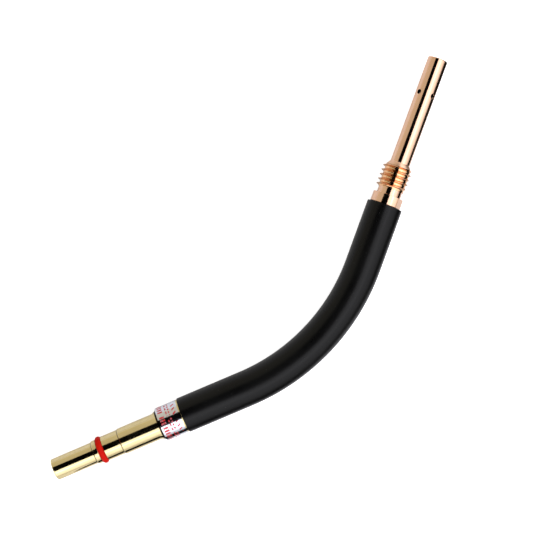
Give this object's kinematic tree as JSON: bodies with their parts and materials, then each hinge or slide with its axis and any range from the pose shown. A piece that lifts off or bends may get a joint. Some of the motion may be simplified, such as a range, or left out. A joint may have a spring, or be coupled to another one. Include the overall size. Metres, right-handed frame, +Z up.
{
  "type": "mig welding torch swan neck",
  "caption": "Bent, insulated swan neck of a gas-cooled welding torch, with a sealed brass plug, a coarse nozzle thread and a copper tip holder.",
  "frame": {"origin": "on the bench under the middle of the neck's footprint, which lies flat with its bend level", "axes": "+Z up from the bench, square to the bend; +X from the plug along the plug's axis; the neck bends towards +Y"},
  "size_m": [0.2076, 0.1008, 0.0144],
  "materials": {
    "brass": "turned and polished brass",
    "copper": "turned and polished copper",
    "silver_solder": "solidified silver-bearing brazing filler",
    "red_silicone": "moulded red silicone rubber, slight sheen",
    "silver_film": "metallised polyester film with plain red marks",
    "glass_fibre": "woven glass-fibre sleeving",
    "black_rubber": "black extruded rubber, satin"
  },
  "bodies": {
    "root": {"rear_plug": "brass", "plug_o_ring": "red_silicone", "label_band": "silver_film", "conductor_tube": "copper", "plug_braze_ring": "silver_solder", "head_braze_ring": "silver_solder", "holder_braze_ring": "silver_solder", "glass_fibre_sleeve": "glass_fibre", "outer_sleeve": "black_rubber", "head_body": "copper", "tip_holder": "copper"}
  },
  "joints": []
}
